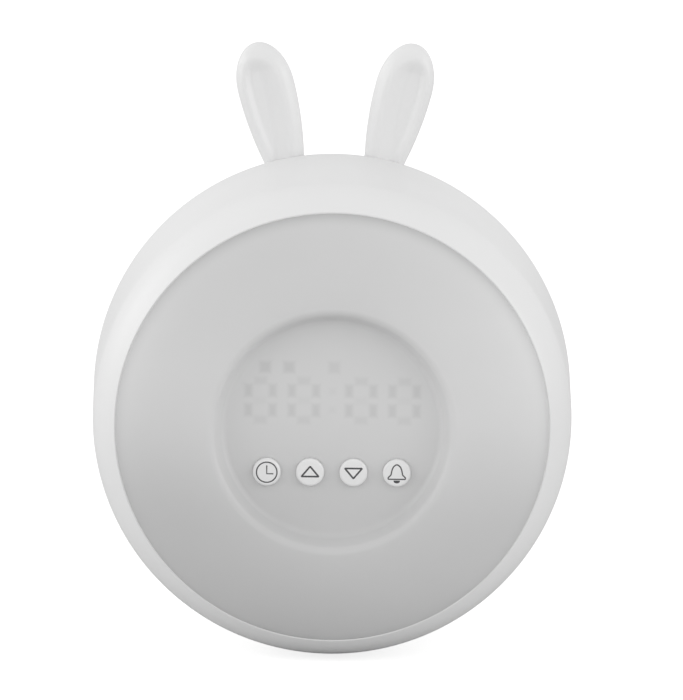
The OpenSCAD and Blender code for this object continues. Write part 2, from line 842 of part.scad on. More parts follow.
module battery_lead() {
    wall_x = box_w / 2 + box_wall;
    start = -back_d + box_floor + box_wall / 2;
    land = -inner_back + 13;
    lead([[-wall_x - 0.1, -box_drop - 5.5, start], [-wall_x - 4, -box_drop - 6.5, start + 1],
          [-wall_x - 6, between(-box_drop, shelf_y, 0.5), start + 3], [-wall_x + 1, shelf_y + 7, start + 4],
          [-16, shelf_y + 5, start + 3], [-9, shelf_y + 5.5, land + 1], [-8, power_top, land]], lead_r);
}

rear_shell();
foot_pad();
left_ear();
right_ear();
ear_screws();
front_diffuser();
inner_frame();
case_screws();
lamp_board();
lamp_leds();
main_board();
digit_leds();
display_mask();
key_switches();
plunger(0);  // time_plunger
plunger(1);  // up_plunger
plunger(2);  // down_plunger
plunger(3);  // alarm_plunger
button(0);  // time_button
button(1);  // up_button
button(2);  // down_button
button(3);  // alarm_button
board_screws();
control_chip();
lead_sockets();
speaker_frame();
speaker_cone();
speaker_magnet();
speaker_screws();
battery_cells();
battery_contacts();
battery_door();
door_screws();
power_board();
power_socket();
power_switch();
switch_knob();
power_screws();
speaker_lead();
power_lead();
battery_lead();
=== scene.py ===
import json
import math

import bmesh
import bpy
from mathutils import Matrix, Vector


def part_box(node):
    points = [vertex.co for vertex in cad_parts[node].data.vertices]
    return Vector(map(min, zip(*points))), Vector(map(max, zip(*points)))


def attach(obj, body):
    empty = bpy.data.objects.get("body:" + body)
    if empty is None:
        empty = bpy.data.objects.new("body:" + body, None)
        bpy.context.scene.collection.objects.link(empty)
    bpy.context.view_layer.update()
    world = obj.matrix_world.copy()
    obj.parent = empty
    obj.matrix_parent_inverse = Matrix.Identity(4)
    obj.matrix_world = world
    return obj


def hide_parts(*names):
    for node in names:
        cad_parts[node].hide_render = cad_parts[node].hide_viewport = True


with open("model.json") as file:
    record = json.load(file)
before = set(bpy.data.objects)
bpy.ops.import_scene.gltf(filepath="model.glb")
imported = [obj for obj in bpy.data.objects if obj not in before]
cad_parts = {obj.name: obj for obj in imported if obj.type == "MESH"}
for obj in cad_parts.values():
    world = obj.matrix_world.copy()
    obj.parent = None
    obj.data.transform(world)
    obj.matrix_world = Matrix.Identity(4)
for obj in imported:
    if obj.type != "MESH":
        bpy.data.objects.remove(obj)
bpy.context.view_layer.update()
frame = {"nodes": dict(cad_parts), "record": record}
print("frame loaded:", len(frame["nodes"]), "nodes")

mm = 0.001  # sizes below are in millimetres, and mm turns them to metres
edgeAngle = 32  # degrees: where faces meet at more than this, the edge stays sharp
margin = 1  # how far a cutter goes past what it cuts

# the two big round pieces come first, because the others take their places from them
shell = {
    "radius": 72.5, "mouthRadius": 66.0, "frontDepth": 15.0, "beltDepth": 60.0, "backRadius": 28.0,
    "wall": 2.4, "lipRadius": 63.5, "lipDepth": 6.0, "lipEdge": 0.4,
    "turns": 256, "frontSteps": 30, "beltSteps": 8, "backSteps": 32, "flatSteps": 6,
    "innerBackEnd": 170, "innerBackSteps": 10, "innerFrontEnd": 62, "innerFrontSteps": 5,
}
ring = {
    "rimRadius": 65.9, "rimAhead": 0.15, "rimRound": 1.5, "crownHeight": 8.8, "crownRadius": 38.0,
    "recessDepth": 6.0, "lipRound": 3.0, "draft": 25.0, "footRound": 2.4, "window": 1.6, "wall": 2.0,
    "hollowOut": 1.2, "hollowDrop": 3.4,
    "skirtRadius": 63.3, "skirt": 2.1, "skirtLength": 5.0, "skirtTop": 0.4,
    "rimSteps": 8, "crownSteps": 56, "lipSteps": 14, "footSteps": 8, "windowSteps": 5,
    "innerStart": 2, "innerShort": 4, "innerSteps": 10,
}

ringLow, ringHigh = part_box("front_diffuser")
axisZ = (ringLow[2] + ringHigh[2]) / 2  # height of the body's axis
seamY = ringLow[1] + ring["crownHeight"] * mm  # plane where the shell meets the light ring
backAhead = -(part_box("rear_shell")[1][1] - seamY) / mm  # the flat back, ahead of the seam in mm


def place(right, up, ahead):  # a spot in mm: right of and above the axis, ahead of the seam
    return Vector((right * mm, seamY - ahead * mm, axisZ + up * mm))


def spot(node):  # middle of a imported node, as right and up in mm
    low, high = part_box(node)
    return (low[0] + high[0]) / 2 / mm, ((low[2] + high[2]) / 2 - axisZ) / mm


def colour(hexText):  # sRGB hex to linear
    values = [int(hexText[i:i + 2], 16) / 255 for i in (1, 3, 5)]
    return tuple(v / 12.92 if v <= 0.04045 else ((v + 0.055) / 1.055) ** 2.4 for v in values) + (1.0,)


def addNode(tree, kind, inputs=(), **traits):  # each input is a plain value or the socket that feeds it
    node = tree.nodes.new(kind)
    for key, value in traits.items():
        setattr(node, key, value)
    for key, value in dict(inputs).items():
        if isinstance(value, bpy.types.NodeSocket):
            tree.links.new(value, node.inputs[key])
        else:
            node.inputs[key].default_value = value
    return node


def newMaterial(name, settings):
    made = bpy.data.materials.new(name)
    made.use_nodes = True
    tree = made.node_tree
    shader = tree.nodes["Principled BSDF"]
    for key, value in settings.items():
        shader.inputs[key].default_value = value
    coords = addNode(tree, "ShaderNodeTexCoord").outputs["Object"]
    return made, tree, shader, coords


def drift(tree, coords, darkHex, lightHex, patchMm):  # slow change of colour over the piece
    noise = addNode(tree, "ShaderNodeTexNoise", {"Scale": 1 / (patchMm * mm), "Detail": 2.0, "Vector": coords})
    ramp = addNode(tree, "ShaderNodeValToRGB", {"Fac": noise.outputs["Fac"]})
    for element, position, hexText in zip(ramp.color_ramp.elements, (0.3, 0.7), (darkHex, lightHex)):
        element.position = position
        element.color = colour(hexText)
    return ramp.outputs["Color"]


def grain(tree, shader, coords, grainMm, bump, roughLow, roughHigh):  # fine relief and gloss of a surface
    noise = addNode(tree, "ShaderNodeTexNoise", {"Scale": 1 / (grainMm * mm), "Detail": 3.0, "Vector": coords})
    relief = noise.outputs["Fac"]
    gloss = addNode(tree, "ShaderNodeMapRange", {"To Min": roughLow, "To Max": roughHigh, "Value": relief})
    height = addNode(tree, "ShaderNodeBump", {"Strength": bump, "Distance": 0.05 * mm, "Height": relief})
    tree.links.new(gloss.outputs["Result"], shader.inputs["Roughness"])
    tree.links.new(height.outputs["Normal"], shader.inputs["Normal"])


# after the name: darker and lighter colour, size of the grain in mm, its relief, least and most roughness
# (a moulding's real grain is near 0.1 mm, too fine to show, so it is drawn 2 to 6 times as coarse)
def mouldedPlastic(name, darkHex, lightHex, grainMm, bump, roughLow, roughHigh):
    made, tree, shader, coords = newMaterial(name, {"IOR": 1.5})
    tree.links.new(drift(tree, coords, darkHex, lightHex, 60), shader.inputs["Base Color"])
    grain(tree, shader, coords, grainMm, bump, roughLow, roughHigh)
    return made


def platedMetal(name, darkHex, lightHex, roughLow, roughHigh):
    made, tree, shader, coords = newMaterial(name, {"Metallic": 1.0})
    tree.links.new(drift(tree, coords, darkHex, lightHex, 4), shader.inputs["Base Color"])
    grain(tree, shader, coords, 0.4, 0.1, roughLow, roughHigh)
    return made


# the digits, dots and signs that show faintly through the window
display = {
    "digitUp": 8.6, "digitHeight": 12.0, "digitWidth": 7.3, "pairMiddle": 15.2, "halfPitch": 6.55,
    "segmentLength": 3.4, "segmentWidth": 1.9, "blur": 1.1, "blurInside": 0.7, "dotRise": 2.8, "dot": 1.6,
    "signUp": 10.2, "sign": 3.0, "signs": ((-20.4, 0.125), (-13.2, 0.125), (0.4, 0.085)),
    "uprightShade": 0.12, "levelShade": 0.075, "middleShade": 0.03, "dotShade": 0.035,
}
# shading seen in the photo: duller at the rim, below, above and to the left, and all of it brighter by lift
ringShade = {
    "rimWidth": 4.5, "rimShade": 0.24, "rimAtTop": 0.65, "rimAllRound": 0.35,
    "lowerFrom": 8.0, "lowerTo": -32.0, "lowerShade": 0.17,
    "upperFrom": 12.0, "upperTo": 56.0, "upperShade": 0.09, "sideShade": 0.0008, "lift": 0.07,
}


# polycarbonate with a milky filler, moulded satin: light goes a few millimetres in and comes out soft
def milkyPlastic():
    made, tree, shader, coords = newMaterial("milkyPolycarbonate", {
        "IOR": 1.55, "Subsurface Weight": 0.25,
        "Subsurface Radius": (1.0, 1.0, 1.0), "Subsurface Scale": 4 * mm,
    })
    d, s = display, ringShade
    quarter, halfLong, halfWide = d["digitHeight"] / 4, d["segmentLength"] / 2, d["segmentWidth"] / 2
    # each row names its result, then what is done, then numbers or the names of earlier results
    rows = [
        ("across", "MULTIPLY", "x", 1 / mm),
        ("up", "MULTIPLY_ADD", "z", 1 / mm, -axisZ / mm),
        ("above", "SUBTRACT", "up", d["digitUp"]),
        ("rise", "ABSOLUTE", "above"),
        ("fromMiddle", "ABSOLUTE", "across"),
        ("offPair", "SUBTRACT ABSOLUTE", "fromMiddle", d["pairMiddle"]),
        ("inDigit", "SUBTRACT ABSOLUTE", "offPair", d["halfPitch"]),
        ("offColumn", "SUBTRACT ABSOLUTE", "inDigit", d["digitWidth"] / 2),
        ("offQuarter", "SUBTRACT ABSOLUTE", "rise", quarter),
        ("offRow", "SUBTRACT ABSOLUTE", "offQuarter", quarter),
        ("isMiddle", "LESS_THAN", "rise", quarter),
        ("levelShade", "MULTIPLY_ADD", "isMiddle", d["middleShade"] - d["levelShade"], d["levelShade"]),
        ("offDot", "SUBTRACT ABSOLUTE", "rise", d["dotRise"]),
        ("offSign", "SUBTRACT ABSOLUTE", "above", d["signUp"]),
    ]
    marks = [  # distances from a mark's middle, half its width and height, its shade
        ("offColumn", "offQuarter", halfWide, halfLong, d["uprightShade"]),
        ("inDigit", "offRow", halfLong, halfWide, "levelShade"),
        ("fromMiddle", "offDot", d["dot"] / 2, d["dot"] / 2, d["dotShade"]),
    ]
    for i, (signX, shade) in enumerate(d["signs"]):
        rows.append((f"offSign{i}", "SUBTRACT ABSOLUTE", "across", signX))
        marks.append((f"offSign{i}", "offSign", d["sign"] / 2, d["sign"] / 2, shade))
    for alongX, alongZ, halfWidth, halfHeight, shade in marks:
        rows += [
            ("outX", "SUBTRACT", alongX, halfWidth),
            ("outZ", "SUBTRACT", alongZ, halfHeight),
            ("mark", "MAXIMUM", "outX", "outZ"),
            ("mark", "SMOOTHSTEP", "mark", d["blur"], -d["blur"] * d["blurInside"]),
            ("mark", "MULTIPLY", "mark", shade),
            ("marks", "MAXIMUM", "marks", "mark"),
        ]
    # the rows below paint shade into the colour: darker towards the rim (most at the top), darker below, above
    # and to the left, and all of it brighter by lift; the painted rim shade joins the digit marks
    rows += [
        ("upSquared", "MULTIPLY", "up", "up"),
        ("fromAxis", "MULTIPLY_ADD SQRT", "across", "across", "upSquared"),
        ("rim", "MULTIPLY_ADD", "fromAxis", 1 / s["rimWidth"], 1 - ring["rimRadius"] / s["rimWidth"]),
        ("rim", "MAXIMUM", "rim", 0.0),
        ("rim", "MINIMUM", "rim", 1.0),
        ("rim", "POWER", "rim", 2.0),
        ("towardsTop", "MULTIPLY_ADD", "up", s["rimAtTop"] / ring["rimRadius"], s["rimAllRound"]),
        ("towardsTop", "MAXIMUM", "towardsTop", 0.0),
        ("towardsTop", "MINIMUM", "towardsTop", 1.0),
        ("rim", "MULTIPLY", "rim", "towardsTop"),
        ("rim", "MULTIPLY", "rim", s["rimShade"]),
        ("marks", "MAXIMUM", "marks", "rim"),
        ("duller", "MULTIPLY_ADD", "across", -s["sideShade"], -s["lift"]),
        ("lower", "SMOOTHSTEP", "up", s["lowerFrom"], s["lowerTo"]),
        ("duller", "MULTIPLY_ADD", "lower", s["lowerShade"], "duller"),
        ("upper", "SMOOTHSTEP", "up", s["upperFrom"], s["upperTo"]),
        ("duller", "MULTIPLY_ADD", "upper", s["upperShade"], "duller"),
        ("light", "SUBTRACT", 1.0, "marks"),
        ("light", "SUBTRACT", "light", "duller"),
    ]
    split = addNode(tree, "ShaderNodeSeparateXYZ", {"Vector": coords})
    found = {"x": split.outputs["X"], "z": split.outputs["Z"], "marks": 0.0}
    for name, operations, *terms in rows:
        for operation in operations.split():  # a second one works on what the first gave
            kind, trait = "ShaderNodeMath", "operation"
            if operation == "SMOOTHSTEP":
                kind, trait = "ShaderNodeMapRange", "interpolation_type"
            inputs = {i: found.get(term, term) for i, term in enumerate(terms)}
            found[name] = addNode(tree, kind, inputs, **{trait: operation}).outputs[0]
            terms = [name]
    light = found["light"]
    grey = addNode(tree, "ShaderNodeCombineColor", {"Red": light, "Green": light, "Blue": light})
    shaded = addNode(tree, "ShaderNodeMix", {
        "Factor": 1.0, "A": drift(tree, coords, "#d2d2d2", "#d5d5d5", 50), "B": grey.outputs["Color"],
    }, data_type="RGBA", blend_type="MULTIPLY")
    tree.links.new(shaded.outputs["Result"], shader.inputs["Base Color"])
    grain(tree, shader, coords, 0.35, 0.12, 0.42, 0.5)
    return made


materials = {
    # ABS, injection moulded with a fine satin texture: bright, soft highlights
    "shell_plastic": mouldedPlastic("satinMouldedAbs", "#e6e6e6", "#eaeaea", 0.3, 0.12, 0.34, 0.42),
    "milky_plastic": milkyPlastic(),
    # silicone-feel ABS caps, smoother than the case
    "button_plastic": mouldedPlastic("smoothButtonAbs", "#e8e8e8", "#ededed", 0.25, 0.06, 0.3, 0.36),
    # ABS moulded plain for the inside: no texture, a dull white
    "frame_plastic": mouldedPlastic("matteFrameAbs", "#dcdcd9", "#e2e2df", 0.4, 0.2, 0.5, 0.6),
    # silicone rubber, moulded matt: dull, slightly dusty
    "foot_rubber": mouldedPlastic("mattSilicone", "#b4b4b2", "#bdbdbb", 0.5, 0.3, 0.7, 0.85),
    # nylon, moulded in black, grey and ivory: hard small parts with a low sheen
    "black_plastic": mouldedPlastic("mattBlackNylon", "#17171a", "#1f1f22", 0.3, 0.2, 0.45, 0.6),
    "grey_plastic": mouldedPlastic("greyNylon", "#8f9092", "#9a9b9d", 0.3, 0.15, 0.4, 0.5),
    "socket_plastic": mouldedPlastic("ivoryNylon", "#d8cfb4", "#e0d8c0", 0.3, 0.15, 0.4, 0.5),
    # solder mask on glass-fibre board, white behind the lamps, green elsewhere: smooth, a little glossy
    "lamp_board_white": mouldedPlastic("whiteSolderMask", "#e4e6e1", "#ebece8", 0.2, 0.1, 0.28, 0.36),
    "board_green": mouldedPlastic("greenSolderMask", "#0f4a2a", "#155834", 0.2, 0.1, 0.25, 0.33),
    # clear epoxy over yellow phosphor: glossy little lenses
    "led_resin": mouldedPlastic("phosphorResin", "#e3c65a", "#efd67a", 0.2, 0.05, 0.15, 0.22),
    # paper pulp, pressed and dyed: dull, with a fibrous surface
    "cone_paper": mouldedPlastic("pressedPaper", "#1b1b1c", "#252527", 0.25, 0.5, 0.7, 0.85),
    # thin film shrunk round each cell: tight and smooth, a soft gloss
    "cell_sleeve": mouldedPlastic("shrinkSleeve", "#5f7768", "#6b8474", 0.6, 0.05, 0.22, 0.3),
    # soft vinyl, extruded round the cores: smooth but not shiny
    "lead_sleeve": mouldedPlastic("softPvcSleeve", "#1d1d1f", "#262628", 0.4, 0.2, 0.45, 0.55),
    # steel with a thin coat of zinc: pale, bright screws
    "screw_steel": platedMetal("zincPlatedSteel", "#a4a6aa", "#b8babd", 0.28, 0.4),
    # sheet steel, pressed and left bare: darker and duller
    "pressed_steel": platedMetal("pressedSteel", "#6c6e72", "#7d7f83", 0.35, 0.5),
    # nickel on steel: slightly warm, and glossier than zinc
    "magnet_steel": platedMetal("nickelPlate", "#9a9792", "#aba8a2", 0.2, 0.3),
    "contact_steel": platedMetal("nickelPlatedSpringSteel", "#b3b1ab", "#c4c2bc", 0.2, 0.3),
    # stainless steel, deep drawn: bright, with soft reflections
    "socket_steel": platedMetal("drawnStainless", "#aeb0b3", "#bfc1c4", 0.22, 0.32),
}
# pad-printed ink on the caps: dark grey and slightly dull
iconInk = mouldedPlastic("padPrintInk", "#4a4a4c", "#525254", 0.3, 0.05, 0.5, 0.6)
for row in frame["record"]["subparts"]:
    node = frame["nodes"][row["node"]]
    node.data.materials.clear()
    node.data.materials.append(materials[row["material_slot"]])
print("materials made:", len(materials) + 1)


def makePiece(name, shape, slot, rides="root", stands=(), sharp=edgeAngle, material=None):
    mesh = bpy.data.meshes.new(name)
    shape.to_mesh(mesh)
    shape.free()
    mesh.shade_smooth()
    mesh.set_sharp_from_angle(angle=math.radians(sharp))
    piece = bpy.data.objects.new(name, mesh)
    bpy.context.scene.collection.objects.link(piece)
    piece.data.materials.append(material or materials[slot])
    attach(piece, rides)
    if stands:
        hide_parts(*stands)
    return piece


def arc(centreRadius, centreAhead, radius, fromAngle, toAngle, count):  # angles from straight ahead, outwards
    angles = [math.radians(fromAngle + (toAngle - fromAngle) * i / count) for i in range(count + 1)]
    return [(centreRadius + radius * math.sin(a), centreAhead + radius * math.cos(a)) for a in angles]


def spin(shape, corners, centre, axis, count):  # turns a line of corners into a round form
    points = [shape.verts.new(corner) for corner in corners]
    edges = [shape.edges.new(pair) for pair in zip(points, points[1:])]
    bmesh.ops.spin(shape, geom=points + edges, cent=centre, axis=axis,
                   angle=2 * math.pi, steps=count, use_merge=True)


def turn(shape, outline, count, right=0.0, up=0.0):  # turns an outline of (radius, ahead) round the view axis
    spin(shape, [place(right + r, up, ahead) for r, ahead in outline], place(right, up, 0), (0, 1, 0), count)


def tidy(shape):  # closes seams and poles, then turns all faces outwards
    bmesh.ops.remove_doubles(shape, verts=shape.verts[:], dist=0.0008 * mm)
    bmesh.ops.dissolve_degenerate(shape, edges=shape.edges[:], dist=0.0004 * mm)
    bmesh.ops.recalc_face_normals(shape, faces=shape.faces[:])


def cut(piece, cutter):  # takes a closed cutter shape out of a piece
    tidy(cutter)
    mesh = bpy.data.meshes.new("cutter")
    cutter.to_mesh(mesh)
    cutter.free()
    tool = bpy.data.objects.new("cutter", mesh)
    bpy.context.scene.collection.objects.link(tool)
    modifier = piece.modifiers.new("cut", "BOOLEAN")
    modifier.operation, modifier.object, modifier.solver = "DIFFERENCE", tool, "EXACT"
    bpy.context.view_layer.update()
    result = bpy.data.meshes.new_from_object(piece.evaluated_get(bpy.context.evaluated_depsgraph_get()))
    piece.modifiers.clear()
    old, piece.data = piece.data, result
    bpy.data.meshes.remove(old)
    bpy.data.objects.remove(tool)
    bpy.data.meshes.remove(mesh)
    piece.data.set_sharp_from_angle(angle=math.radians(edgeAngle))


# a block across the view axis, with its four edges along that axis rounded
def slab(shape, right, up, width, height, nearAhead, farAhead, corner=0.0):
    made = bmesh.ops.create_cube(shape, size=1.0)["verts"]
    middle = place(right, up, (nearAhead + farAhead) / 2)
    size = Vector((width * mm, abs(farAhead - nearAhead) * mm, height * mm))
    for v in made:
        v.co = middle + Vector((v.co.x * size.x, v.co.y * size.y, v.co.z * size.z))
    if corner:
        level = 0.0001 * mm  # an edge that moves less than this across the axis runs along it
        sides = [e for e in set(e for v in made for e in v.link_edges)
                 if abs(e.verts[0].co.x - e.verts[1].co.x) < level
                 and abs(e.verts[0].co.z - e.verts[1].co.z) < level]
        bmesh.ops.bevel(shape, geom=sides, offset=corner * mm, affect="EDGES",
                        segments=8, profile=0.5, material=-1)


back = {
    "hole": 1.1, "holeFlare": 0.35, "grillePitch": 4.2, "grilleRows": (1, 2), "holeSteps": 24,
    "well": 3.4, "wellFloor": -30.4, "postX": 46.0, "postY": 24.0, "postRadius": 4.8,
    "postAbove": 10.0, "postBelow": 2.2, "wellSteps": 40,
    "doorWidth": 55.4, "doorHeight": 37.4, "doorDepth": 2.0, "doorCorner": 1.2,
    "doorEarX": 29.3, "doorEar": 4.4,
    "boxWidth": 51.0, "boxHeight": 33.0, "boxDepth": 13.8, "boxCorner": 0.6, "boxWall": 1.6, "boxSeat": 0.2,
    "socketWidth": 9.44, "socketHeight": 3.76, "socketCorner": 1.85,
    "slotWidth": 5.6, "slotHeight": 3.0, "slotCorner": 0.5, "knobTravel": 2.0,
}
postPlaces = [(x, y) for x in (-back["postX"], back["postX"]) for y in (-back["postY"], back["postY"])]


def makeShell():
    s = shell
    frontRise = s["radius"] - s["mouthRadius"]
    frontRadius = (frontRise ** 2 + s["frontDepth"] ** 2) / (2 * frontRise)
    frontCentre = s["radius"] - frontRadius
    backCentre = s["radius"] - s["backRadius"]
    rimAngle = math.degrees(math.asin((s["mouthRadius"] - frontCentre) / frontRadius))
    beltLength = s["beltDepth"] - s["frontDepth"]
    lip = (s["lipRadius"], -s["lipDepth"])
    outline = [lip, (s["lipRadius"], -s["lipEdge"]), (s["lipRadius"] + s["lipEdge"], 0.0)]
    outline += arc(frontCentre, -s["frontDepth"], frontRadius, rimAngle, 90, s["frontSteps"])
    outline += [(s["radius"], -s["frontDepth"] - beltLength * i / s["beltSteps"])
                for i in range(1, s["beltSteps"])]
    outline += arc(backCentre, -s["beltDepth"], s["backRadius"], 90, 180, s["backSteps"])
    outline += [(backCentre * i / s["flatSteps"], backAhead) for i in reversed(range(s["flatSteps"]))]
    # and back along the inside of the wall
    outline += [(0, backAhead + s["wall"]), (backCentre, backAhead + s["wall"])]
    outline += arc(backCentre, -s["beltDepth"], s["backRadius"] - s["wall"],
                   s["innerBackEnd"], 90, s["innerBackSteps"])
    outline += arc(frontCentre, -s["frontDepth"], frontRadius - s["wall"],
                   90, s["innerFrontEnd"], s["innerFrontSteps"])
    outline.append(lip)
    shape = bmesh.new()
    turn(shape, outline, s["turns"])
    tidy(shape)
    openBack(makePiece("rearShell", shape, "shell_plastic", stands=["rear_shell"]))


def openBack(piece):  # the door's recess, its ears and what lies in it are cut one after the other
    b = back
    through = backAhead + shell["wall"] + margin
    outside = backAhead - margin
    # grille, screw wells and the recess of the battery door
    cutter = bmesh.new()
    holes = [(0.0, 0.0)]
    for row in b["grilleRows"]:
        for i in range(6 * row):
            angle = math.radians(60 / row * i)
            holes.append((b["grillePitch"] * row * math.cos(angle), b["grillePitch"] * row * math.sin(angle)))
    grilleRight, grilleUp = spot("speaker_magnet")
    for right, up in holes:
        turn(cutter, [(0, through), (b["hole"], through), (b["hole"], backAhead + b["holeFlare"]),
                      (b["hole"] + b["holeFlare"] + margin, outside), (0, outside)],
             b["holeSteps"], grilleRight + right, grilleUp + up)
    deep = through + b["postRadius"]
    for right, up in postPlaces:
        turn(cutter, [(0, deep), (b["well"], deep), (b["well"], outside), (0, outside)],
             b["wellSteps"], right, up)
    doorRight, doorUp = spot("battery_door")
    doorFloor = backAhead + b["doorDepth"]
    slab(cutter, doorRight, doorUp, b["doorWidth"], b["doorHeight"], doorFloor, outside, b["doorCorner"])
    cut(piece, cutter)
    # the round ears of the door, where its screws sit
    cutter = bmesh.new()
    for right in (-b["doorEarX"], b["doorEarX"]):
        turn(cutter, [(0, doorFloor), (b["doorEar"], doorFloor), (b["doorEar"], outside), (0, outside)],
             b["wellSteps"], doorRight + right, doorUp)
    cut(piece, cutter)
    # battery box, power inlet and the slot of the slide switch
    cutter = bmesh.new()
    slab(cutter, doorRight, doorUp, b["boxWidth"], b["boxHeight"], through, outside, b["boxCorner"])
    slab(cutter, *spot("power_socket"), b["socketWidth"], b["socketHeight"],
         through, outside, b["socketCorner"])
    knobRight, knobUp = spot("switch_knob")
    slotRight = knobRight + b["knobTravel"] / 2
    slab(cutter, slotRight, knobUp, b["slotWidth"], b["slotHeight"], through, outside, b["slotCorner"])
    cut(piece, cutter)


def backSkin(radius):  # how far ahead the shell's back lies, at a distance from its axis
    outward = max(radius - shell["radius"] + shell["backRadius"], 0)
    return backAhead + shell["backRadius"] - math.sqrt(shell["backRadius"] ** 2 - outward ** 2)


def makePosts():  # hollow posts that carry the case screws deep in the shell
    b = back
    top, low = b["wellFloor"] + b["postAbove"], backAhead + b["postBelow"]
    posts = bmesh.new()
    for right, up in postPlaces:
        turn(posts, [(0, top), (b["postRadius"], top), (b["postRadius"], low), (b["well"], low),
                     (b["well"], b["wellFloor"]), (0, b["wellFloor"])], b["wellSteps"], right, up)
    for v in posts.verts:  # their open ends end inside the wall of the shell
        if (seamY - v.co.y) / mm < backAhead + b["postRadius"]:
            v.co.y = seamY - (backSkin(math.hypot(v.co.x, v.co.z - axisZ) / mm) + shell["wall"] / 2) * mm
    tidy(posts)
    makePiece("screwPosts", posts, "shell_plastic")


def makeBatteryTub():  # walls and floor of the battery box, open to the back
    b = back
    low, high = backAhead + b["doorDepth"] + b["boxSeat"], backAhead + b["boxDepth"]
    tub = bmesh.new()
    slab(tub, *spot("battery_door"), b["boxWidth"], b["boxHeight"], high, low)
    opening = min(tub.faces, key=lambda f: -f.calc_center_median().y)
    bmesh.ops.delete(tub, geom=[opening], context="FACES_ONLY")
    bmesh.ops.recalc_face_normals(tub, faces=tub.faces[:])
    bmesh.ops.solidify(tub, geom=tub.faces[:], thickness=-b["boxWall"] * mm)
    tidy(tub)
    makePiece("batteryTub", tub, "shell_plastic")


foot = {
    "radius": 22.0, "low": 0.9, "high": 9.0, "edge": 0.5, "edgeRound": 0.15,
    "padSeat": 19.2, "padDepth": 2.0, "turns": 96,
}


def makeFoot():  # the ring under the belly, with a seat for the soft pad
    f = foot
    padLow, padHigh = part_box("foot_pad")
    middle = Vector(((padLow[0] + padHigh[0]) / 2, (padLow[1] + padHigh[1]) / 2, 0))
    outline = [(0, f["padDepth"]), (f["padSeat"], f["padDepth"]), (f["padSeat"], f["low"]),
               (f["radius"] - f["edge"], f["low"]), (f["radius"] - f["edgeRound"], f["low"] + f["edgeRound"]),
               (f["radius"], f["low"] + f["edge"]), (f["radius"], f["high"]), (0, f["high"])]
    shape = bmesh.new()
    spin(shape, [middle + Vector((r * mm, 0, z * mm)) for r, z in outline], middle, (0, 0, 1), f["turns"])
    tidy(shape)
    makePiece("footRing", shape, "shell_plastic")


button = {
    "radius": 4.25, "gap": 0.04, "pitch": 13.1, "drop": 13.3, "top": 4.2, "edge": 0.75, "flange": 5.1,
    "flangeTop": 1.1, "flangeLow": 0.1, "stem": 1.5, "stemLow": -0.7, "turns": 72, "edgeSteps": 8,
}
keys = ["time", "up", "down", "alarm"]
keyPlaces = [(i - 1.5) * button["pitch"] for i in range(len(keys))]


def makeLightRing():
    r = ring
    # the crown is one arc from rim to window, and its centre lies behind the seam
    rise = r["rimRadius"] - r["crownRadius"]
    crownCentre = (r["crownHeight"] ** 2 - rise ** 2) / (2 * r["crownHeight"])
    crownArc = r["crownHeight"] - crownCentre
    windowAhead = r["crownHeight"] - r["recessDepth"]
    windowBack = windowAhead - r["window"]
    # the lip rolls over into a drafted wall, which meets the window in a fillet
    lipTurn = 90 - r["draft"]
    lipEnd = arc(r["crownRadius"], r["crownHeight"] - r["lipRound"], r["lipRound"], 0, -lipTurn, r["lipSteps"])
    endRadius, endAhead = lipEnd[-1]
    cornerRadius = endRadius - (endAhead - windowAhead) * math.tan(math.radians(r["draft"]))
    fillet = r["footRound"] * math.tan(math.radians(lipTurn / 2))
    # the rim's rounding touches the crown and ends a little ahead of the seam
    edge = r["rimRound"]
    edgeOut = r["rimRadius"] - edge - r["crownRadius"]
    edgeRise = math.sqrt((crownArc - edge) ** 2 - edgeOut ** 2)
    turnAngle = math.degrees(math.atan2(edgeOut, edgeRise))
    endAngle = math.degrees(math.acos((r["rimAhead"] - crownCentre - edgeRise) / edge))
    outline = arc(r["rimRadius"] - edge, crownCentre + edgeRise, edge, endAngle, turnAngle, r["rimSteps"])
    outline += arc(r["crownRadius"], crownCentre, crownArc, turnAngle, 0, r["crownSteps"])[1:]
    outline += lipEnd[1:]
    footArc = arc(cornerRadius - fillet, windowAhead + r["footRound"], r["footRound"],
                  180 - lipTurn, 180, r["footSteps"])
    outline += footArc
    outline += [(footArc[-1][0] * i / r["windowSteps"], windowAhead)
                for i in reversed(range(r["windowSteps"]))]
    # and back along the inside, down the skirt that goes into the shell
    outline += [(0, windowBack), (cornerRadius + r["hollowOut"], windowBack)]
    outline.append((r["crownRadius"] - r["hollowOut"], r["crownHeight"] - r["hollowDrop"]))
    outline += arc(r["crownRadius"], crownCentre, crownArc - r["wall"],
                   r["innerStart"], turnAngle - r["innerShort"], r["innerSteps"])
    skirtIn = r["skirtRadius"] - r["skirt"]
    outline += [(skirtIn, r["skirtTop"]), (skirtIn, -r["skirtLength"]), (r["skirtRadius"], -r["skirtLength"])]
    outline += [(r["skirtRadius"], r["rimAhead"]), outline[0]]
    shape = bmesh.new()
    turn(shape, outline, shell["turns"])
    tidy(shape)
    piece = makePiece("lightRing", shape, "milky_plastic", stands=["front_diffuser"])
    cutter = bmesh.new()
    hole = button["radius"] + button["gap"]
    for right in keyPlaces:
        turn(cutter, [(0, windowBack - margin), (hole, windowBack - margin), (hole, windowAhead + margin),
                      (0, windowAhead + margin)], button["turns"], right, -button["drop"])
    cut(piece, cutter)


def makeButtons():
    b = button
    for key, right in zip(keys, keyPlaces):
        outline = [(0, b["stemLow"]), (b["stem"], b["stemLow"]), (b["stem"], b["flangeLow"]),
                   (b["flange"], b["flangeLow"]), (b["flange"], b["flangeTop"]), (b["radius"], b["flangeTop"])]
        outline += arc(b["radius"] - b["edge"], b["top"] - b["edge"], b["edge"], 90, 0, b["edgeSteps"])
        outline.append((0, b["top"]))
        shape = bmesh.new()
        turn(shape, outline, b["turns"], right, -b["drop"])
        tidy(shape)
        makePiece(key + "Cap", shape, "button_plastic", key + "_key", [key + "_button"])


